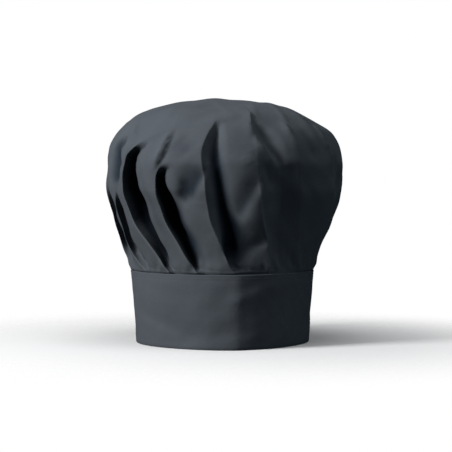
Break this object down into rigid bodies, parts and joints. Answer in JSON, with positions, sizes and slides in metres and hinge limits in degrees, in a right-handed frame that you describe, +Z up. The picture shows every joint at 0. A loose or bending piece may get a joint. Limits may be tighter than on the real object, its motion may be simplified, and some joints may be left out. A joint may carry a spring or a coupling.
{
  "type": "chef hat",
  "caption": "Puffed chef's hat of black cloth: a one-piece pleated crown on a tall double-cloth band that laps at the back. Hollow, open below, worn on the head.",
  "frame": {"origin": "the middle of the hat's footprint, on the surface that its rim stands on", "axes": "+Z up through the top of the crown, the front of the hat towards -Y, the wearer's left towards +X"},
  "size_m": [0.2421, 0.2439, 0.2488],
  "materials": {
    "crown_cloth": "matt black woven cotton",
    "band_cloth": "matt black woven cotton, pressed flat",
    "patch_tape": "dull black hook-and-loop tape"
  },
  "bodies": {
    "root": {"crown": "crown_cloth", "band": "band_cloth", "fastening_patch": "patch_tape"}
  },
  "joints": []
}
